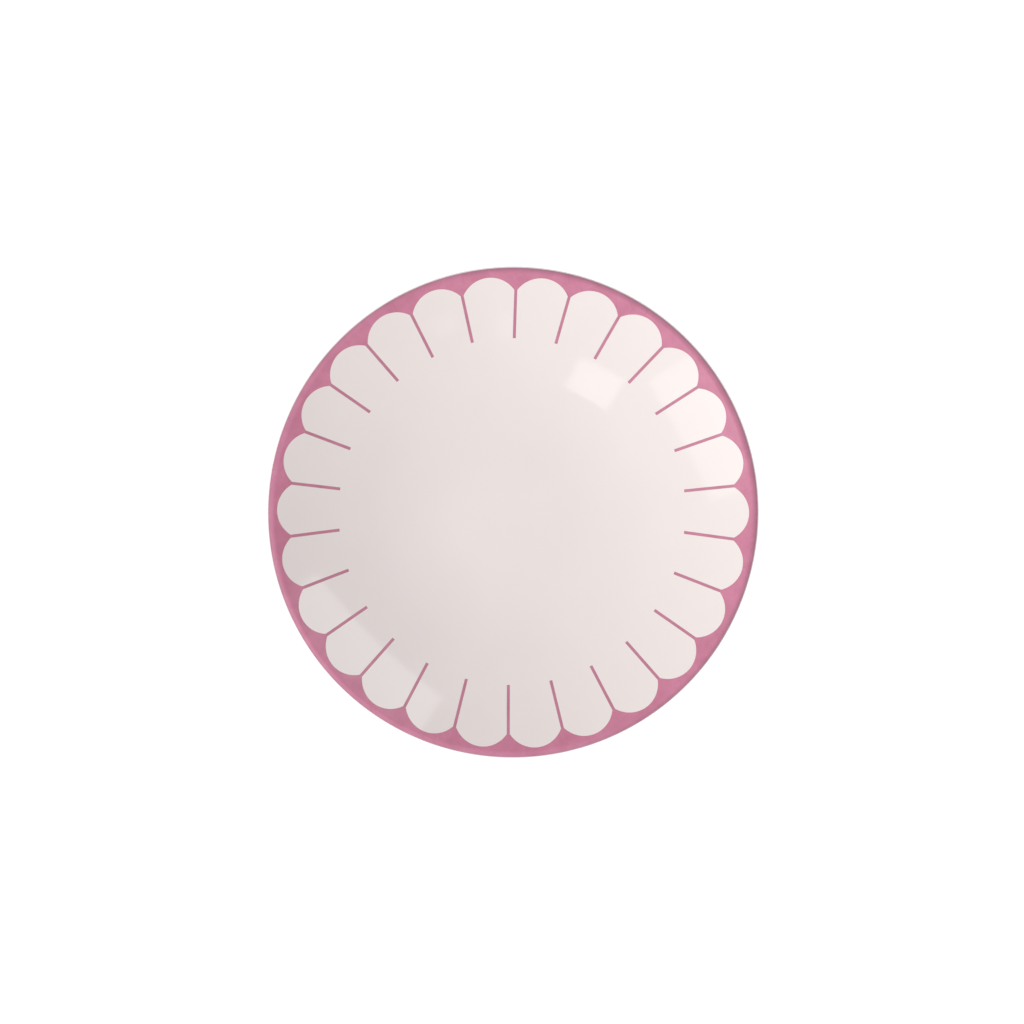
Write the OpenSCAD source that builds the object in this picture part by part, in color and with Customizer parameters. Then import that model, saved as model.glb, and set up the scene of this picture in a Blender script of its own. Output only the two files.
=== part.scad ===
// Round coupe dessert plate in glazed porcelain.
// The rim is a plain circle. A print in the glaze draws a ring of round-topped petals on it.
// The plate stands on z = 0 on its bare foot ring, and its axis is the z axis.

/* [Plate] */
// Outer diameter of the finished plate
plate_d = 210; // [190:1:240]
// Finished thickness of the middle and the well, glaze included
well_t = 4.2; // [3.6:0.1:5.2]
// Finished thickness of the wall at its rounded rim
lip_t = 4.6; // [4:0.1:5.2]
// Gap between the underside and the table in the middle
under_gap = 2; // [1.6:0.1:3.5]

/* [Well] */
// Diameter of the flat middle of the face
flat_d = 48; // [44:1:56]
// Radius of the curve that lifts the flat middle into the wall
well_r = 125; // [116:1:136]
// Distance from the foot ring out to the knee, where that curve passes into the wall
knee_past_foot = 7.1; // [5:0.1:12]
// Radius of the wall, which curves on up to the rim
wall_r = 236; // [200:1:300]

/* [Foot ring] */
// Outer diameter of the foot ring at the table
foot_d = 108; // [100:1:111]
// Width of the foot ring at the table
foot_w = 2.6; // [2.2:0.1:4]
// Lean of each side of the foot ring, in degrees
foot_draft = 12; // [6:1:18]
// Radius between the foot ring and the underside
foot_fillet_r = 2; // [1.4:0.1:2.4]
// Rounding of the two standing edges
foot_edge_r = 0.5; // [0.3:0.1:0.8]
// Height of the foot ring that the glaze leaves bare
bare_h = 1; // [0.8:0.1:1.4]

/* [Glaze] */
// Thickness of the glaze coat
glaze_t = 0.3; // [0.25:0.05:0.4]

/* [Printed border] */
// Number of petals round the plate
petals = 26; // [20:1:32]
// White glaze left between the print and the edge of the rim
print_edge = 0.5; // [0.45:0.05:0.9]
// Narrowest width of the pink band, over the petal tops
band_w = 3.75; // [2:0.05:6]
// Depth of the scallops, from petal top to cusp
scallop_depth = 6.6; // [5:0.1:8]
// Length of the line that runs in from each cusp
line_l = 19.8; // [10:0.1:28]
// Width of each line
line_w = 1.3; // [0.8:0.1:2]
// How far each line is let into the band past its neck
line_seat = 0.6; // [0.4:0.1:1]
// Direction of the first line from the x axis, in degrees
print_turn = 6.2; // [0:0.1:14]
// Stretch of the hand-laid print that comes once a turn, in degrees, and where it is most
drift_once = 0.5; // [0:0.05:0.8]
drift_once_at = 36; // [0:1:360]
// Stretch of the print that comes twice a turn, in degrees, and where it is most
drift_twice = 0.43; // [0:0.05:0.6]
drift_twice_at = 152; // [0:1:180]

/* [Hidden] */

$fn = 180;
well_steps = 14;
wall_steps = 16;
lip_steps = 14;
fillet_steps = 7;
edge_steps = 3;

bisque = "#e9e2da";
white_glaze = "#efe8e6";
pink_print = "#c8829e";

// Section of the plate, with x as the distance from the axis
plate_r = plate_d / 2;
lip_r = lip_t / 2;
flat_r = flat_d / 2;
face_z = under_gap + well_t;

// The well's curve has one centre for its face and its back, so it keeps its thickness
well_c = [flat_r, face_z + well_r];
well_back_r = well_r + well_t;

// The knee stands outside the foot ring, so the ring's fillet always runs into the well's back
foot_out = foot_d / 2;
knee_slope = asin((foot_out + knee_past_foot - flat_r) / well_back_r);
knee_way = [sin(knee_slope), -cos(knee_slope)];

// The wall's face carries on from the knee and runs onto the half round of the rim
wall_c = well_c + (well_r - wall_r) * knee_way;
lip_x = plate_r - lip_r;
rim_slope = asin((lip_x - wall_c[0]) / (wall_r + lip_r));
lip_c = wall_c + (wall_r + lip_r) * [sin(rim_slope), -cos(rim_slope)];
rim_z = lip_c[1] + lip_r;

// The wall's back starts at the knee too, and its radius is the one that meets the rim
knee_back = well_c + well_back_r * knee_way;
knee_to_lip = lip_c - knee_back;
back_span = knee_to_lip * knee_to_lip - lip_r * lip_r;
back_r = back_span / (-2 * (knee_to_lip * knee_way + lip_r));
back_c = knee_back - back_r * knee_way;
back_slope = asin((lip_x - back_c[0]) / (back_r - lip_r));

// Foot ring, measured on the bare porcelain
foot_in = foot_out - foot_w;
edge_inset = foot_edge_r * (1 - sin(foot_draft)) / cos(foot_draft);
bare_shift = bare_h * tan(foot_draft);
glaze_shift = glaze_t / cos(foot_draft);

// Printed border, seen from above
pitch = 360 / petals;
print_r = plate_r - print_edge;
petal_top_r = print_r - band_w;
cusp_r = petal_top_r - scallop_depth;
petal_half_w = cusp_r * sin(pitch / 2);
petal_rise = petal_top_r - cusp_r * cos(pitch / 2);
petal_r = (pow(petal_half_w, 2) + pow(petal_rise, 2)) / (2 * petal_rise);
petal_c = petal_top_r - petal_r;
neck_y = petal_c * sin(pitch / 2) - line_w / 2;
neck_r = petal_c * cos(pitch / 2) + sqrt(pow(petal_r, 2) - pow(neck_y, 2));
line_in = cusp_r - line_l;
line_out = neck_r + line_seat;
cut_h = rim_z + lip_t;

// Points of an arc from one angle to another
function arc(c, r, from, to, steps) = [
    for (i = [0 : steps])
        let (a = from + (to - from) * i / steps)
        c + r * [cos(a), sin(a)]
];

function reversed(list) = [for (i = [len(list) - 1 : -1 : 0]) list[i]];

// Centre of the fillet on one side of the foot ring. side is 1 outside and -1 inside, and x is
// where that side of the bare ring would meet the table.
function fillet_c(x, side) =
    let (
        lean = [side * sin(foot_draft), cos(foot_draft)],
        out = [side * cos(foot_draft), -sin(foot_draft)],
        start = [x, 0] + (foot_fillet_r + glaze_t) * out - well_c,
        along = start * lean,
        reach = well_back_r + foot_fillet_r
    )
    well_c + start + lean * (-along - sqrt(along * along - start * start + reach * reach));

fillet_out_c = fillet_c(foot_out, 1);
fillet_in_c = fillet_c(foot_in, -1);

function bearing(from, to) = atan2(to[1] - from[1], to[0] - from[0]);

touch_out = bearing(fillet_out_c, well_c);
touch_in = bearing(fillet_in_c, well_c);

// An arc without its first point, to carry on a line that already has it
function onward(c, r, from, to, steps) = [
    for (i = [1 : steps]) arc(c, r, from, to, steps)[i]
];

// Face line from the axis out to the rim, set back by d from the finished face
function face_line(d) = concat(
    [[0, face_z - d]],
    arc(well_c, well_r + d, -90, knee_slope - 90, well_steps),
    onward(wall_c, wall_r + d, knee_slope - 90, rim_slope - 90, wall_steps)
);

// Rim line from one bearing to another, on from a line that ends where it starts
function lip_line(d, from, to) = onward(lip_c, lip_r - d, from, to, lip_steps);

// Back line from the rim down to the outside of the foot ring
function back_line(d) = concat(
    onward(back_c, back_r - d, back_slope - 90, knee_slope - 90, wall_steps),
    onward(well_c, well_back_r - d, knee_slope - 90, touch_out - 180, fillet_steps),
    onward(fillet_out_c, foot_fillet_r + d, touch_out, 180 - foot_draft, fillet_steps)
);

// Underside line from the inside of the foot ring to the axis
function base_line(d) = concat(
    arc(fillet_in_c, foot_fillet_r + d, foot_draft, touch_in, fillet_steps),
    onward(well_c, well_back_r - d, touch_in - 180, -90, well_steps),
    [[0, under_gap + d]]
);

// Bare foot ring, outside edge, standing face and inside edge
function foot_line() = concat(
    arc([foot_out - edge_inset, foot_edge_r], foot_edge_r, -foot_draft, -90, edge_steps),
    arc([foot_in + edge_inset, foot_edge_r], foot_edge_r, -90, foot_draft - 180, edge_steps)
);

// Bearing at which the rim line, set back by d, meets the outer edge of the print
function print_bearing(d) = acos((print_r - lip_x) / (lip_r - d));

module porcelain_body() {
    color(bisque)
    rotate_extrude()
    polygon(concat(
        face_line(glaze_t),
        lip_line(glaze_t, rim_slope + 90, back_slope - 90),
        back_line(glaze_t),
        foot_line(),
        base_line(glaze_t)
    ));
}

// Glaze on the face, out to the edge of the print
module face_coat() {
    rotate_extrude()
    polygon(concat(
        face_line(0),
        lip_line(0, rim_slope + 90, print_bearing(0)),
        reversed(lip_line(glaze_t, rim_slope + 90, print_bearing(glaze_t))),
        reversed(face_line(glaze_t))
    ));
}

// Glaze over the rim and down the back to the foot ring
module outer_glaze() {
    foot_top = [foot_out + bare_shift, bare_h];
    color(white_glaze)
    rotate_extrude()
    polygon(concat(
        arc(lip_c, lip_r, print_bearing(0), back_slope - 90, lip_steps),
        back_line(0),
        [foot_top + [glaze_shift, 0], foot_top],
        reversed(back_line(glaze_t)),
        reversed(arc(lip_c, lip_r - glaze_t, print_bearing(glaze_t), back_slope - 90, lip_steps))
    ));
}

// Glaze on the underside, within the foot ring
module base_glaze() {
    foot_top = [foot_in - bare_shift, bare_h];
    color(white_glaze)
    rotate_extrude()
    polygon(concat(
        [foot_top - [glaze_shift, 0]],
        base_line(0),
        reversed(base_line(glaze_t)),
        [foot_top]
    ));
}

// A hand-laid print runs a little ahead of even spacing or behind it
function laid(a) = a
    + drift_once * cos(a - drift_once_at)
    + drift_twice * cos(2 * (a - drift_twice_at));

module petal_shapes() {
    circle(r = petal_c);
    for (i = [0 : petals - 1])
        rotate(laid(print_turn + pitch * (i + 1 / 2)))
        translate([petal_c, 0])
        circle(r = petal_r);
}

module line_shapes() {
    for (i = [0 : petals - 1])
        rotate(laid(print_turn + pitch * i))
        translate([line_in, -line_w / 2])
        square([line_out - line_in, line_w]);
}

module band_shape() {
    difference() {
        circle(r = plate_r);
        petal_shapes();
        line_shapes();
    }
}

// White glaze within the border, with a slot for each line
module face_glaze() {
    color(white_glaze)
    intersection() {
        face_coat();
        linear_extrude(cut_h)
        difference() {
            petal_shapes();
            line_shapes();
        }
    }
}

// Pink band between the petal tops and the rim
module scallop_band() {
    color(pink_print)
    intersection() {
        face_coat();
        linear_extrude(cut_h)
        band_shape();
    }
}

// Pink lines between the petals
module petal_lines() {
    color(pink_print)
    intersection() {
        face_coat();
        linear_extrude(cut_h)
        line_shapes();
    }
}

porcelain_body();
face_glaze();
outer_glaze();
base_glaze();
scallop_band();
petal_lines();
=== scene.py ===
from math import acos, asin, atan2, cos, hypot, pi, radians, sin, sqrt, tan

import bpy
import numpy as np
from mathutils import Matrix, Vector


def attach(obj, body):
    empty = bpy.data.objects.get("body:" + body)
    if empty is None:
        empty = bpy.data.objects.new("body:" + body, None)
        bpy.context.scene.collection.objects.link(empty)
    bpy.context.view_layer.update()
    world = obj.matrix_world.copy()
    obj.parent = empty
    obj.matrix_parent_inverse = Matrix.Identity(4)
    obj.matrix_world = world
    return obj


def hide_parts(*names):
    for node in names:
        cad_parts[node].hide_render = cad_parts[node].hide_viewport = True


# A porcelain plate with a printed petal border. Its six pieces stand for the CAD model's six nodes.

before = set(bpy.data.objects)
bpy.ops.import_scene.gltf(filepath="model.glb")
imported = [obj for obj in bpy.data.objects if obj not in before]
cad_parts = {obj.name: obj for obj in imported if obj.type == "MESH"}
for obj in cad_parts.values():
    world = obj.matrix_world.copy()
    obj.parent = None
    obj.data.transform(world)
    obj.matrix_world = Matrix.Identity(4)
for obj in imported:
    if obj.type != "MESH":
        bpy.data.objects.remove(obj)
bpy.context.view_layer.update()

# The plate's sizes, as the CAD model has them, in metres and radians
MM = 0.001
plate_r = 105 * MM
well_t = 4.2 * MM
lip_r = 2.3 * MM
under_gap = 2 * MM
flat_r = 24 * MM
well_r = 125 * MM
knee_past_foot = 7.1 * MM
wall_r = 236 * MM
foot_out = 54 * MM
foot_in = 51.4 * MM
foot_draft = radians(12)
foot_fillet_r = 2 * MM
foot_edge_r = 0.5 * MM
bare_h = 1 * MM
glaze_t = 0.3 * MM

# The printed border
petals = 26
print_edge = 0.5 * MM
band_w = 3.75 * MM
scallop_depth = 6.6 * MM
line_l = 19.8 * MM
line_w = 1.3 * MM
print_turn = radians(6.2)
drift_once = radians(0.5)
drift_once_at = radians(36)
drift_twice = radians(0.43)
drift_twice_at = radians(152)

# How finely the pieces are drawn
flat_steps = 3
well_steps = 9
wall_steps = 9
lip_steps = 12
fillet_steps = 6
edge_steps = 4
inner_steps = 4
petal_steps = 7
petal_columns = 20
band_steps = 4
roll_steps = 8

# Rounds in which the petals' edges settle, as their distances and bearings depend on each other
edge_rounds = 4

# Points of a section that are nearer to each other than this, in metres, are one, and a point that
# is nearer to the axis is on it
same_place = 1e-7

# The photograph's frame in pixels, with the place and size of the rim in it
photo_px = 1024
rim_px = Vector((513.35, 512.8))
rim_radius_px = 246.1

# The camera stands nearly overhead, leaning towards the upper left of the photograph
camera_distance = 2.5
camera_tilt = radians(3.7)
camera_lean = radians(137)
sensor_mm = 36
nearest_seen = 0.1
farthest_seen = 20


def on_arc(centre, radius, bearing):
    """The point of an arc at a bearing."""
    return np.array([centre[0] + radius * cos(bearing), centre[1] + radius * sin(bearing)])


# Section of the plate: x is the distance from the axis, and y the height. Bearings in it are angles
# from the x axis. The well meets the wall at the knee, and the wall runs up to the rounded lip.
# A name that ends in _c is the centre of an arc.
right_angle = pi / 2
face_z = under_gap + well_t
well_back_r = well_r + well_t
well_c = np.array([flat_r, face_z + well_r])
knee_slope = asin((foot_out + knee_past_foot - flat_r) / well_back_r)
knee_bearing = knee_slope - right_angle
wall_c = on_arc(well_c, well_r - wall_r, knee_bearing)
lip_x = plate_r - lip_r
rim_slope = asin((lip_x - wall_c[0]) / (wall_r + lip_r))
rim_bearing = rim_slope - right_angle
lip_c = on_arc(wall_c, wall_r + lip_r, rim_bearing)
knee_way = on_arc((0, 0), 1, knee_bearing)
knee_to_lip = lip_c - (well_c + well_back_r * knee_way)
back_r = (knee_to_lip @ knee_to_lip - lip_r**2) / (-2 * (knee_to_lip @ knee_way + lip_r))
back_c = lip_c - knee_to_lip - back_r * knee_way
back_bearing = asin((lip_x - back_c[0]) / (back_r - lip_r)) - right_angle
edge_inset = foot_edge_r * (1 - sin(foot_draft)) / cos(foot_draft)
bare_shift = bare_h * tan(foot_draft)
glaze_shift = glaze_t / cos(foot_draft)

# Border seen from above. A petal's top is an arc, whose centre is petal_c away from the axis.
pitch = 2 * pi / petals
print_r = plate_r - print_edge
petal_top_r = print_r - band_w
cusp_r = petal_top_r - scallop_depth
petal_half_w = cusp_r * sin(pitch / 2)
petal_rise = petal_top_r - cusp_r * cos(pitch / 2)
petal_r = (petal_half_w**2 + petal_rise**2) / (2 * petal_rise)
petal_c = petal_top_r - petal_r
line_in = cusp_r - line_l

# Where the well of the face ends, and where its lip begins
knee_r = flat_r + well_r * sin(knee_slope)
lip_start_r = lip_x - lip_r * sin(rim_slope)


def fillet_centre(x, side):
    """Centre of the fillet on one side of the foot ring, where side is 1 outside and -1 inside.

    It lies beside the foot ring's flank, at the distance from the well's centre at which the fillet
    touches the well's back.
    """
    lean = np.array([side * sin(foot_draft), cos(foot_draft)])
    out = np.array([side * cos(foot_draft), -sin(foot_draft)])
    start = np.array([x, 0]) + (foot_fillet_r + glaze_t) * out - well_c
    along = start @ lean
    reach = well_back_r + foot_fillet_r
    return well_c + start + lean * (-along - sqrt(along**2 - start @ start + reach**2))


def bearing_of(way):
    """Angle of a way in the section from the x axis."""
    return atan2(way[1], way[0])


fillet_out_c = fillet_centre(foot_out, 1)
fillet_in_c = fillet_centre(foot_in, -1)
touch_out = bearing_of(well_c - fillet_out_c)
touch_in = bearing_of(well_c - fillet_in_c)


def face_height(r, depth=0.0):
    """Height of the face at distance r from the axis, or of what lies depth under it."""
    knee_at = flat_r + (well_r + depth) * sin(knee_slope)
    lip_at = lip_x - (lip_r - depth) * sin(rim_slope)
    well = well_c[1] - np.sqrt(np.maximum((well_r + depth) ** 2 - (r - flat_r) ** 2, 0))
    wall = wall_c[1] - np.sqrt(np.maximum((wall_r + depth) ** 2 - (r - wall_c[0]) ** 2, 0))
    lip = lip_c[1] + np.sqrt(np.maximum((lip_r - depth) ** 2 - (r - lip_x) ** 2, 0))
    return np.select([r <= flat_r, r <= knee_at, r <= lip_at], [face_z - depth, well, wall], lip)


def face_lean(r):
    """How far the face's normal points away from the axis: the sine of its angle."""
    well = (flat_r - r) / well_r
    wall = (wall_c[0] - r) / wall_r
    lip = (r - lip_x) / lip_r
    return np.select([r <= flat_r, r <= knee_r, r <= lip_start_r], [0, well, wall], lip)


def add_object(name, data):
    """A new object in the scene, which shows the given data."""
    made = bpy.data.objects.new(name, data)
    bpy.context.scene.collection.objects.link(made)
    return made


def make_piece(name, points, faces, normals, node, material):
    """A mesh piece with its own corner normals. It stands for a CAD node and rides on the plate."""
    mesh = bpy.data.meshes.new(name)
    mesh.from_pydata([tuple(p) for p in points], [], faces)
    mesh.polygons.foreach_set("use_smooth", [True] * len(faces))
    mesh.normals_split_custom_set([tuple(n) for corners in normals for n in corners])
    mesh.materials.append(material)
    piece = add_object(name, mesh)
    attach(piece, "root")
    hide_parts(node)


def laid(bearing):
    """A hand-laid print runs a little ahead of even spacing or behind it."""
    once = drift_once * np.cos(bearing - drift_once_at)
    twice = drift_twice * np.cos(2 * (bearing - drift_twice_at))
    return bearing + once + twice


def petal_layout():
    """Bearings of the lines, a function for those of the petals' columns, and the petals' edges."""
    count = np.arange(petals + 1)
    lines = laid(print_turn + pitch * count)
    middles = laid(print_turn + pitch * (count[:-1] + 0.5))
    half_turn = asin((petal_c * sin(pitch / 2) - line_w / 2) / petal_r)
    turns = np.linspace(-half_turn, half_turn, petal_columns + 1)
    share = (1 + np.sin(turns) / sin(half_turn)) / 2

    def bearings_at(r):
        """Bearings of every petal's columns at distances r, one row for each petal."""
        inset = np.arcsin(line_w / 2 / r)
        start = lines[:-1, None] + inset
        end = lines[1:, None] - inset
        return start * (1 - share) + end * share

    edge_r = np.full((petals, petal_columns + 1), petal_top_r)
    for _ in range(edge_rounds):
        off = bearings_at(edge_r) - middles[:, None]
        edge_r = petal_c * np.cos(off) + np.sqrt(petal_r**2 - (petal_c * np.sin(off)) ** 2)
    return lines[:-1], bearings_at, edge_r


line_bearings, column_bearing, petal_edge_r = petal_layout()
neck_r = (petal_edge_r[:, 0] + np.roll(petal_edge_r[:, -1], 1)) / 2


def polar(r, bearing):
    """Points in plan from distances and bearings."""
    return np.stack([r * np.cos(bearing), r * np.sin(bearing)], -1)


def grid_faces(grid, closed=False):
    """Quads between the rows and columns of a grid of point numbers, wound to face up."""
    after = np.roll(grid, -1, 1) if closed else grid[:, 1:]
    here = grid if closed else grid[:, :-1]
    quads = np.stack([here[:-1], here[1:], after[1:], after[:-1]], -1)
    return quads.reshape(-1, 4).tolist()


def around(petal_part, line_part):
    """One row all round the plate: each line's middle column, and then its petal's columns."""
    return np.concatenate([line_part[:, None], petal_part], 1).reshape(-1)


def face_plan():
    """The white face in plan: rings from the middle out to the lines' ends, then the petals."""
    rings = np.concatenate([
        np.linspace(0, flat_r, flat_steps + 1)[1:],
        np.linspace(flat_r, knee_r, well_steps + 1)[1:],
        np.linspace(knee_r, line_in, inner_steps + 1)[1:],
    ])
    bearings = around(column_bearing(np.array(line_in)), line_bearings)
    ring_points = polar(rings[:, None], bearings[None, :])
    row = len(bearings)
    points = [np.zeros((1, 2)), ring_points.reshape(-1, 2)]
    ring_grid = 1 + np.arange(len(rings) * row).reshape(len(rings), row)
    faces = [[0, int(a), int(b)] for a, b in zip(ring_grid[0], np.roll(ring_grid[0], -1))]
    faces += grid_faces(ring_grid, closed=True)

    columns = petal_columns + 1
    first = 1 + len(rings) * row
    for petal in range(petals):
        start = ring_grid[-1][petal * (columns + 1) + 1:][:columns]
        shares = np.arange(1, petal_steps + 1)[:, None] / petal_steps
        r = line_in + (petal_edge_r[petal] - line_in) * shares
        bearing = np.stack([column_bearing(np.broadcast_to(x, (petals, columns)))[petal] for x in r])
        points.append(polar(r, bearing).reshape(-1, 2))
        grid = first + np.arange(petal_steps * columns).reshape(petal_steps, columns)
        faces += grid_faces(np.vstack([start, grid]))
        first += petal_steps * columns
    return np.concatenate(points), faces


def lines_plan():
    """The lines in plan: each runs in from its cusp, three columns wide."""
    columns = petal_columns + 1
    points = []
    faces = []
    shares = np.arange(petal_steps + 1) / petal_steps
    for line in range(petals):
        sides = []
        for petal, column in ((line - 1, petal_columns), (line, 0)):
            r = line_in + (petal_edge_r[petal, column] - line_in) * shares
            bearing = [column_bearing(np.full((petals, columns), x))[petal, column] for x in r]
            sides.append(polar(r, np.array(bearing)))
        strip = np.stack([sides[0], (sides[0] + sides[1]) / 2, sides[1]], 1)
        count = strip.shape[0] * strip.shape[1]
        faces += grid_faces(len(points) * count + np.arange(count).reshape(strip.shape[:2]))
        points.append(strip.reshape(-1, 2))
    return np.concatenate(points), faces


def band_plan():
    """The band in plan, from the petals' edges and the lines' necks over the rim to the print's edge."""
    inner_r = around(petal_edge_r, neck_r)
    bearings = around(column_bearing(petal_edge_r), line_bearings)
    slope_end = asin((print_r - lip_x) / lip_r)
    slopes = np.linspace(-rim_slope, slope_end, roll_steps + 1)[1:]
    shares = np.arange(band_steps + 1)[:, None] / band_steps
    wall_rows = inner_r + (lip_start_r - inner_r) * shares
    roll_rows = np.broadcast_to((lip_x + lip_r * np.sin(slopes))[:, None], (roll_steps, len(inner_r)))
    rows = np.vstack([wall_rows, roll_rows])
    grid = np.arange(rows.size).reshape(rows.shape)
    return polar(rows, bearings[None, :]).reshape(-1, 2), grid_faces(grid, closed=True), bearings


def coat(name, plan, faces, node, slot, material):
    """A coat on the plate's face: its plan lifted to the face, the same under it, and its edges."""
    r = np.hypot(plan[:, 0], plan[:, 1])
    count = len(plan)
    top = np.column_stack([plan, face_height(r)])
    under = np.column_stack([plan, face_height(r, glaze_t)])
    lean = face_lean(r)
    ways = np.divide(plan, r[:, None], out=np.zeros_like(plan), where=r[:, None] > 0)
    up = np.column_stack([ways * lean[:, None], np.sqrt(1 - lean**2)])

    edges = [edge for face in faces for edge in zip(face, face[1:] + face[:1])]
    known = set(edges)
    border = [(a, b) for a, b in edges if (b, a) not in known]

    all_faces = list(faces)
    normals = [[up[v] for v in face] for face in faces]
    for face in faces:
        all_faces.append([v + count for v in reversed(face)])
        normals.append([-up[v] for v in reversed(face)])
    for a, b in border:
        all_faces.append([a, a + count, b + count, b])
        along = plan[b] - plan[a]
        out = np.array([along[1], -along[0], 0]) / hypot(along[0], along[1])
        normals.append([out] * 4)
    points = np.concatenate([top, under])
    make_piece(name, points, all_faces, normals, node, material)


def arc_run(centre, radius, start, end, steps, facing):
    """Points of an arc with their normals. facing is 1 away from the centre and -1 towards it."""
    bearings = np.linspace(start, end, steps + 1)
    ways = np.stack([np.cos(bearings), np.sin(bearings)], 1)
    return centre + radius * ways, facing * ways


def straight_run(start, end):
    """Two points with the normal on the left of the way from start to end."""
    points = np.array([start, end])
    along = points[1] - points[0]
    normal = np.array([-along[1], along[0]]) / hypot(along[0], along[1])
    return points, np.array([normal, normal])


def reversed_run(run):
    """The same line the other way, facing the other way."""
    return run[0][::-1], -run[1][::-1]


def face_runs(depth):
    """From the axis over the flat middle, the well and the wall to the lip, depth under the face."""
    return [
        straight_run((0, face_z - depth), (flat_r, face_z - depth)),
        arc_run(well_c, well_r + depth, -right_angle, knee_bearing, well_steps, -1),
        arc_run(wall_c, wall_r + depth, knee_bearing, rim_bearing, wall_steps, -1),
    ]


def back_runs(depth):
    """From the rim down the back to the outside of the foot ring."""
    well_back = well_back_r - depth
    fillet_end = pi - foot_draft
    return [
        arc_run(back_c, back_r - depth, back_bearing, knee_bearing, wall_steps, 1),
        arc_run(well_c, well_back, knee_bearing, touch_out - pi, inner_steps, 1),
        arc_run(fillet_out_c, foot_fillet_r + depth, touch_out, fillet_end, fillet_steps, -1),
    ]


def base_runs(depth):
    """From the inside of the foot ring over the underside to the axis."""
    well_back = well_back_r - depth
    return [
        arc_run(fillet_in_c, foot_fillet_r + depth, foot_draft, touch_in, fillet_steps, -1),
        arc_run(well_c, well_back, touch_in - pi, -right_angle, well_steps, 1),
        straight_run((flat_r, under_gap + depth), (0, under_gap + depth)),
    ]


def foot_runs():
    """The bare foot ring: outer edge, standing face and inner edge."""
    outer_c = (foot_out - edge_inset, foot_edge_r)
    inner_c = (foot_in + edge_inset, foot_edge_r)
    return [
        arc_run(outer_c, foot_edge_r, -foot_draft, -right_angle, edge_steps, 1),
        straight_run((outer_c[0], 0), (inner_c[0], 0)),
        arc_run(inner_c, foot_edge_r, -right_angle, foot_draft - pi, edge_steps, 1),
    ]


def bridge(before, after):
    """A straight run over the gap from the end of one run to the start of another, if there is one."""
    start = before[0][-1]
    end = after[0][0]
    if hypot(*(end - start)) > same_place:
        return [straight_run(start, end)]
    return []


def joined(runs, closed):
    """The runs with the gaps between them bridged, and where closed also the last gap."""
    whole = []
    for run in runs:
        if whole:
            whole += bridge(whole[-1], run)
        whole.append(run)
    if closed:
        whole += bridge(whole[-1], whole[0])
    return whole


def turned(normal, way):
    """A normal of the section, turned about the axis to the given way in plan."""
    return normal[0] * way[0], normal[0] * way[1], normal[1]


def revolved(name, runs, bearings, node, material, closed=True):
    """A solid of revolution from the runs of its section, which go round it clockwise.

    A section that isn't closed starts and ends on the axis.
    """
    segments = []
    for points, normals in joined(runs, closed):
        for k in range(len(points) - 1):
            segments.append((points[k], points[k + 1], normals[k], normals[k + 1]))
    section = [segment[0] for segment in segments]
    if not closed:
        section.append(segments[-1][1])

    turn = len(bearings)
    ways = np.stack([np.cos(bearings), np.sin(bearings)], 1)
    points = []
    rings = []
    for x, z in section:
        start = len(points)
        if x < same_place:
            points.append((0, 0, z))
            rings.append([start] * turn)
        else:
            points += [(x * wx, x * wy, z) for wx, wy in ways]
            rings.append(list(range(start, start + turn)))
    if closed:
        rings.append(rings[0])

    faces = []
    normals = []
    for k, (_, _, start_n, end_n) in enumerate(segments):
        for j in range(turn):
            n = (j + 1) % turn
            quad = ((k, j, start_n), (k + 1, j, end_n), (k + 1, n, end_n), (k, n, start_n))
            corners = {}
            for ring, column, normal in quad:
                # Two corners on the axis are one
                corners.setdefault(rings[ring][column], turned(normal, ways[column]))
            faces.append(list(corners))
            normals.append(list(corners.values()))
    make_piece(name, points, faces, normals, node, material)


def porcelain_body(material, bearings):
    """The fired porcelain: face, rim, back, foot ring and underside."""
    lip = arc_run(lip_c, lip_r - glaze_t, rim_slope + right_angle, back_bearing, lip_steps, 1)
    runs = face_runs(glaze_t) + [lip] + back_runs(glaze_t) + foot_runs() + base_runs(glaze_t)
    revolved("plate_body", runs, bearings, "porcelain_body", material,
             closed=False)


def outer_glaze(material, bearings):
    """The coat from the print's edge on the rim down the back to the foot ring."""
    outside = acos((print_r - lip_x) / lip_r)
    inside = acos((print_r - lip_x) / (lip_r - glaze_t))
    foot_top = np.array([foot_out + bare_shift, bare_h])
    foot_top_out = foot_top + np.array([glaze_shift, 0])
    over = [arc_run(lip_c, lip_r, outside, back_bearing, lip_steps, 1)] + back_runs(0)
    within = [arc_run(lip_c, lip_r - glaze_t, inside, back_bearing, lip_steps, 1)]
    within += back_runs(glaze_t)
    ledge = straight_run(foot_top_out, foot_top)
    runs = over + [ledge] + [reversed_run(run) for run in reversed(within)]
    revolved("outer_glaze_coat", runs, bearings, "outer_glaze", material)


def base_glaze(material, bearings):
    """The coat on the underside, from the inside of the foot ring to the axis."""
    foot_top = np.array([foot_in - bare_shift, bare_h])
    foot_top_in = foot_top - np.array([glaze_shift, 0])
    ledge = straight_run(foot_top, foot_top_in)
    runs = [ledge] + base_runs(0) + [reversed_run(run) for run in reversed(base_runs(glaze_t))]
    revolved("base_glaze_coat", runs, bearings, "base_glaze", material)


# Materials

# Colours are in linear light, the one of thin glaze or colour first and of thick second
white_colours = ((0.86, 0.785, 0.77), (0.845, 0.77, 0.753))
pink_colours = ((0.615, 0.212, 0.328), (0.54, 0.175, 0.278))
line_colours = ((0.56, 0.208, 0.308), (0.492, 0.174, 0.264))
# Tint of painted dark reflection, which the print takes on where it rolls over the rim
painted_rim_reflection_tint = (0.78, 0.94, 0.89)
clay_colours = ((0.83, 0.755, 0.69), (0.74, 0.66, 0.59))
scuff_colour = (0.42, 0.40, 0.385)

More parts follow.
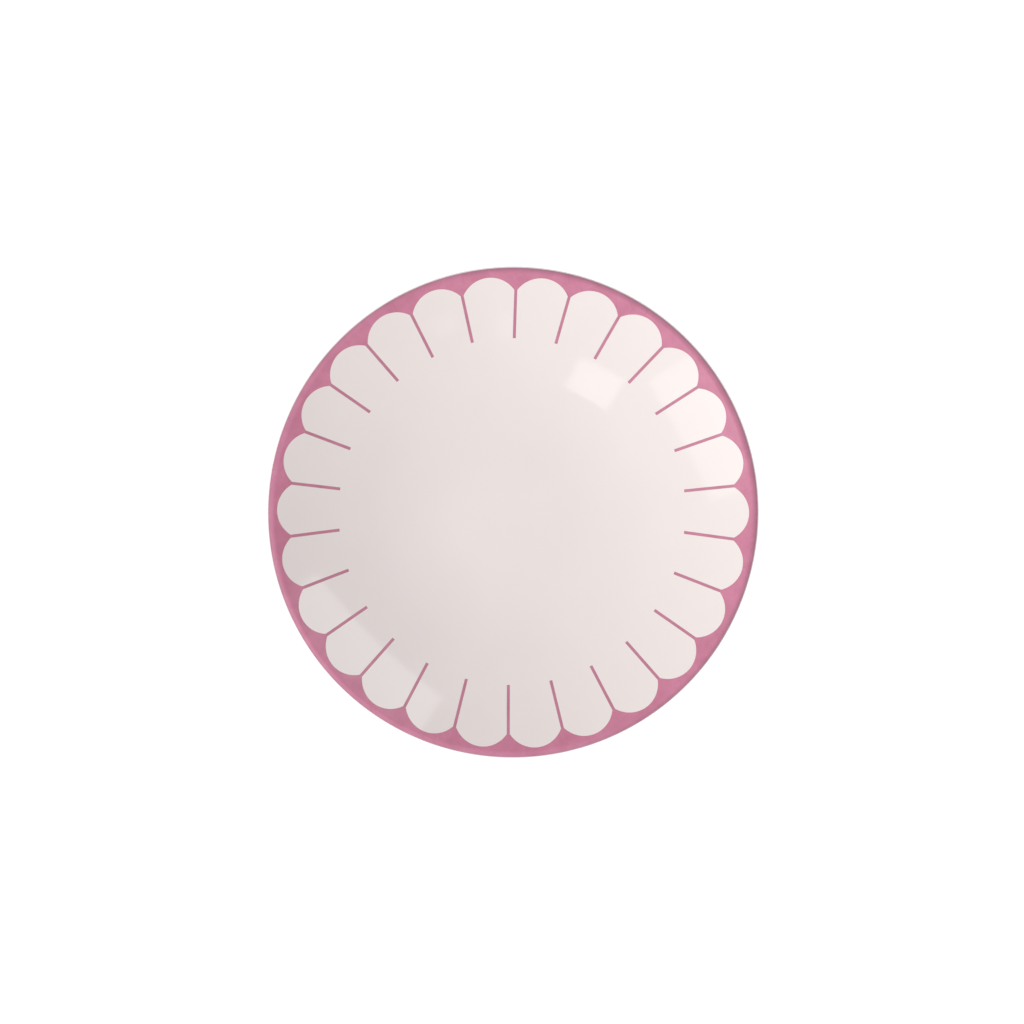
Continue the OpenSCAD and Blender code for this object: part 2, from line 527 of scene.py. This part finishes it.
# Noises, each with its scale in turns to the metre and its detail
glaze_clouds = (30, 3)
print_clouds = (160, 3)
gloss_clouds = (90, 2)
glaze_waves = (45, 1)
glaze_ripples = (420, 2)
clay_speckles = (2600, 4)
clay_grain = (5200, 3)
scuff_marks = (190, 5)

# Most of a noise's values lie between these two
noise_low = 0.3
noise_high = 0.7

# Scuffs begin at the first value of their noise, and from the second on they are at their strongest
scuff_span = (0.56, 0.68)
scuff_strength = 0.5

# Depths of the bumps
wave_depth = 0.015 * MM
ripple_depth = 0.0006 * MM
grain_depth = 0.01 * MM

# Roughness varies between two values
glaze_roughness = (0.06, 0.08)
print_roughness = (0.22, 0.3)
clay_roughness = (0.5, 0.65)
glaze_ior = 1.5

# A painted dark reflection deepens the print where it rolls over the rim, from here out to its edge
painted_reflection_from = lip_x
painted_reflection_to = print_r


def new_material(name):
    """A material with its nodes and links."""
    material = bpy.data.materials.new(name)
    material.use_nodes = True
    return material, material.node_tree.nodes, material.node_tree.links


def noise(nodes, links, scale, detail):
    """A noise texture in the plate's own frame; scale is in turns to the metre."""
    place = nodes.new("ShaderNodeTexCoord")
    texture = nodes.new("ShaderNodeTexNoise")
    texture.inputs["Scale"].default_value = scale
    texture.inputs["Detail"].default_value = detail
    links.new(place.outputs["Object"], texture.inputs["Vector"])
    return texture.outputs["Fac"]


def mixed(nodes, links, share, first, second, blend="MIX"):
    """A colour between two by a share, each a fixed colour or another node's output."""
    mix = nodes.new("ShaderNodeMix")
    mix.data_type = "RGBA"
    mix.blend_type = blend
    links.new(share, mix.inputs["Factor"])
    for end, colour in (("A", first), ("B", second)):
        if isinstance(colour, tuple):
            mix.inputs[end].default_value = (*colour, 1)
        else:
            links.new(colour, mix.inputs[end])
    return mix.outputs["Result"]


def ranged(nodes, links, value, low, high, start=noise_low, end=noise_high):
    """A value that runs from low to high while the given one runs from start to end."""
    span = nodes.new("ShaderNodeMapRange")
    span.inputs["From Min"].default_value = start
    span.inputs["From Max"].default_value = end
    span.inputs["To Min"].default_value = low
    span.inputs["To Max"].default_value = high
    links.new(value, span.inputs["Value"])
    return span.outputs["Result"]


def bumped(nodes, links, height, depth, normal=None):
    """A bump of the given depth in metres."""
    bump = nodes.new("ShaderNodeBump")
    bump.inputs["Distance"].default_value = depth
    links.new(height, bump.inputs["Height"])
    if normal is not None:
        links.new(normal, bump.inputs["Normal"])
    return bump.outputs["Normal"]


def from_axis(nodes, links):
    """Distance from the plate's axis."""
    place = nodes.new("ShaderNodeTexCoord")
    flat = nodes.new("ShaderNodeVectorMath")
    flat.operation = "MULTIPLY"
    flat.inputs[1].default_value = (1, 1, 0)
    links.new(place.outputs["Object"], flat.inputs[0])
    length = nodes.new("ShaderNodeVectorMath")
    length.operation = "LENGTH"
    links.new(flat.outputs["Vector"], length.inputs[0])
    return length.outputs["Value"]


def gloss_glaze(name, colours, cloud_noise, roughness, rim=None):
    """A fired gloss glaze: clouds of colour, a gloss that varies a little, and a soft waviness.

    The last argument is a tint of painted dark reflection that the colour takes on over the rim.
    """
    material, nodes, links = new_material(name)
    shader = nodes["Principled BSDF"]
    clouds = ranged(nodes, links, noise(nodes, links, *cloud_noise), 0, 1)
    colour = mixed(nodes, links, clouds, *colours)
    if rim is not None:
        # Painted dark reflection: the colour darkens from the lip out to the print's edge
        painted_reflection_share = ranged(nodes, links, from_axis(nodes, links), 0, 1, painted_reflection_from, painted_reflection_to)
        colour = mixed(nodes, links, painted_reflection_share, colour, rim, "MULTIPLY")
    links.new(colour, shader.inputs["Base Color"])
    gloss = noise(nodes, links, *gloss_clouds)
    links.new(ranged(nodes, links, gloss, *roughness), shader.inputs["Roughness"])
    waves = bumped(nodes, links, noise(nodes, links, *glaze_waves), wave_depth)
    ripples = noise(nodes, links, *glaze_ripples)
    links.new(bumped(nodes, links, ripples, ripple_depth, waves), shader.inputs["Normal"])
    shader.inputs["IOR"].default_value = glaze_ior
    return material


def bare_porcelain():
    """Fired porcelain without glaze: matt and finely grained, with grey scuffs from use."""
    material, nodes, links = new_material("bare_porcelain")
    shader = nodes["Principled BSDF"]
    speckle = ranged(nodes, links, noise(nodes, links, *clay_speckles), 0, 1)
    clean = mixed(nodes, links, speckle, *clay_colours)
    marks = noise(nodes, links, *scuff_marks)
    scuff = ranged(nodes, links, marks, 0, scuff_strength, *scuff_span)
    links.new(mixed(nodes, links, scuff, clean, scuff_colour), shader.inputs["Base Color"])
    links.new(ranged(nodes, links, speckle, *clay_roughness, 0, 1), shader.inputs["Roughness"])
    grain = bumped(nodes, links, noise(nodes, links, *clay_grain), grain_depth)
    links.new(grain, shader.inputs["Normal"])
    return material


# Camera, lamps and floor


def camera_axes():
    """The camera's right, up and backward directions."""
    lean = sin(camera_tilt)
    back = Vector((cos(camera_lean) * lean, sin(camera_lean) * lean, cos(camera_tilt)))
    right = Vector((0, 1, 0)).cross(back).normalized()
    return right, back.cross(right), back


def add_camera():
    """A long lens that frames the rim as the photograph does."""
    right, up, back = camera_axes()
    pixel = plate_r / rim_radius_px
    aim = Vector((0, 0, lip_c[1]))
    aim -= right * (rim_px.x - photo_px / 2) * pixel
    aim += up * (rim_px.y - photo_px / 2) * pixel
    data = bpy.data.cameras.new("camera")
    data.sensor_width = sensor_mm
    data.lens = sensor_mm * camera_distance / (photo_px * pixel)
    data.clip_start = nearest_seen
    data.clip_end = farthest_seen
    camera = add_object("camera", data)
    turn = Matrix((right, up, back)).transposed().to_4x4()
    camera.matrix_world = Matrix.Translation(aim + back * camera_distance) @ turn
    bpy.context.scene.camera = camera


# Each softbox is set where the photograph shows its mirror image on the plate. It is seen at one
# place there, in a bearing and at an angle from straight up, and faces that place. aside shifts it
# along its own width.
lamp_distance = 1.6

# An area lamp's power in watts is this many times its radiance times its area
watts_for_radiance = 4

softboxes = {
    "high_softbox": {
        "seen_at": (39 * MM, 52 * MM, 15 * MM),
        "bearing": radians(-116.8),
        "from_up": radians(35.1),
        "width": 0.27,
        "height": 0.21,
        "aside": 0,
        "radiance": 1.65,
    },
    "left_softbox": {
        "seen_at": (83 * MM, 30 * MM, 22 * MM),
        "bearing": radians(-152),
        "from_up": radians(51.5),
        "width": 0.75,
        "height": 0.63,
        "aside": 0,
        "radiance": 1.1,
    },
    "right_softbox": {
        "seen_at": (-68 * MM, -58 * MM, 22 * MM),
        "bearing": radians(48.3),
        "from_up": radians(47.8),
        "width": 1.0,
        "height": 0.31,
        "aside": -0.235,
        "radiance": 1.42,
    },
    "first_small_softbox": {
        "seen_at": (-5 * MM, 80 * MM, 20 * MM),
        "bearing": radians(-84),
        "from_up": radians(44.5),
        "width": 0.09,
        "height": 0.14,
        "aside": 0,
        "radiance": 0.5,
    },
    "second_small_softbox": {
        "seen_at": (-30 * MM, 81 * MM, 22 * MM),
        "bearing": radians(-68),
        "from_up": radians(48),
        "width": 0.12,
        "height": 0.12,
        "aside": 0,
        "radiance": 0.45,
    },
}


def add_softbox(name, box):
    """An oblong area lamp. The lamp's power is what gives its face the stated radiance."""
    data = bpy.data.lights.new(name, "AREA")
    data.shape = "RECTANGLE"
    data.size = box["width"]
    data.size_y = box["height"]
    data.energy = watts_for_radiance * box["radiance"] * box["width"] * box["height"]
    lamp = add_object(name, data)
    level = sin(box["from_up"])
    away = Vector((cos(box["bearing"]) * level, sin(box["bearing"]) * level, cos(box["from_up"])))
    side = Vector((0, 0, 1)).cross(away).normalized()
    turn = Matrix((side, away.cross(side), away)).transposed().to_4x4()
    place = Vector(box["seen_at"]) + away * lamp_distance + side * box["aside"]
    lamp.matrix_world = Matrix.Translation(place) @ turn
    lamp.visible_camera = False


def seen_directly(nodes, links):
    """1 for what the camera sees itself, in a gloss or through glass, and 0 for light on the plate."""
    path = nodes.new("ShaderNodeLightPath")
    total = path.outputs["Is Camera Ray"]
    for ray in ("Is Glossy Ray", "Is Transmission Ray"):
        either = nodes.new("ShaderNodeMath")
        either.operation = "MAXIMUM"
        links.new(total, either.inputs[0])
        links.new(path.outputs[ray], either.inputs[1])
        total = either.outputs["Value"]
    return total


# Soft light from all round. It is this much on average, and this share stronger or weaker
# towards the bright side and away from it.
ambient = 0.85
ambient_slant = 0.8
bright_side = radians(-150)


def add_world():
    """The soft light, with a white ground for the camera."""
    world = bpy.data.worlds.new("studio")
    world.use_nodes = True
    nodes = world.node_tree.nodes
    links = world.node_tree.links
    place = nodes.new("ShaderNodeTexCoord")
    slant = nodes.new("ShaderNodeVectorMath")
    slant.operation = "DOT_PRODUCT"
    slant.inputs[1].default_value = (cos(bright_side), sin(bright_side), 0)
    links.new(place.outputs["Generated"], slant.inputs[0])
    low = ambient * (1 - ambient_slant)
    high = ambient * (1 + ambient_slant)
    strength = ranged(nodes, links, slant.outputs["Value"], low, high, -1, 1)
    white = (1, 1, 1, 1)
    light = nodes["Background"]
    light.inputs["Color"].default_value = white
    links.new(strength, light.inputs["Strength"])
    ground = nodes.new("ShaderNodeBackground")
    ground.inputs["Color"].default_value = white
    ground.inputs["Strength"].default_value = 1
    choice = nodes.new("ShaderNodeMixShader")
    links.new(seen_directly(nodes, links), choice.inputs["Fac"])
    links.new(light.outputs["Background"], choice.inputs[1])
    links.new(ground.outputs["Background"], choice.inputs[2])
    links.new(choice.outputs["Shader"], nodes["World Output"].inputs["Surface"])
    bpy.context.scene.world = world


# The floor is open within the foot ring, where only a view from below sees it
floor_r = 4
floor_open_r = foot_out - edge_inset
floor_drop = 0.05 * MM
floor_sides = 96
floor_grey = 0.78
floor_glow = 0.6


def floor_material():
    """Pale paint that keeps the shadow, with a glow that makes it white. From below it is clear."""
    material, nodes, links = new_material("floor")
    nodes.remove(nodes["Principled BSDF"])
    paint = nodes.new("ShaderNodeBsdfDiffuse")
    paint.inputs["Color"].default_value = (floor_grey, floor_grey, floor_grey, 1)
    glow = nodes.new("ShaderNodeEmission")
    share = nodes.new("ShaderNodeMath")
    share.operation = "MULTIPLY"
    share.inputs[1].default_value = floor_glow
    links.new(seen_directly(nodes, links), share.inputs[0])
    links.new(share.outputs["Value"], glow.inputs["Strength"])
    lit = nodes.new("ShaderNodeAddShader")
    links.new(paint.outputs["BSDF"], lit.inputs[0])
    links.new(glow.outputs["Emission"], lit.inputs[1])
    clear = nodes.new("ShaderNodeBsdfTransparent")
    side = nodes.new("ShaderNodeNewGeometry")
    both = nodes.new("ShaderNodeMixShader")
    links.new(side.outputs["Backfacing"], both.inputs["Fac"])
    links.new(lit.outputs["Shader"], both.inputs[1])
    links.new(clear.outputs["BSDF"], both.inputs[2])
    links.new(both.outputs["Shader"], nodes["Material Output"].inputs["Surface"])
    return material


def add_floor():
    """A round floor just under the foot ring."""
    mesh = bpy.data.meshes.new("floor")
    turns = [2 * pi * k / floor_sides for k in range(floor_sides)]
    rims = (floor_open_r, floor_r)
    points = [(r * cos(turn), r * sin(turn), -floor_drop) for r in rims for turn in turns]
    grid = np.arange(len(points)).reshape(len(rims), floor_sides)
    mesh.from_pydata(points, [], grid_faces(grid, closed=True))
    mesh.materials.append(floor_material())
    floor = add_object("floor", mesh)


def build():
    """Makes the six pieces. The revolved ones take the band's bearings, so that their columns meet."""
    white = gloss_glaze("white_glaze", white_colours, glaze_clouds, glaze_roughness)
    pink = gloss_glaze("pink_print", pink_colours, print_clouds, print_roughness, painted_rim_reflection_tint)
    line_pink = gloss_glaze("pink_line_print", line_colours, print_clouds, print_roughness)
    plan, faces, bearings = band_plan()
    coat("petal_band", plan, faces, "scallop_band", "pink_print", pink)
    coat("petal_line_set", *lines_plan(), "petal_lines", "pink_print", line_pink)
    coat("face_glaze_coat", *face_plan(), "face_glaze", "white_glaze", white)
    outer_glaze(white, bearings)
    base_glaze(white, bearings)
    porcelain_body(bare_porcelain(), bearings)


build()
add_camera()
add_world()
add_floor()
for name, box in softboxes.items():
    add_softbox(name, box)

view = bpy.context.scene.view_settings
view.view_transform = "Standard"
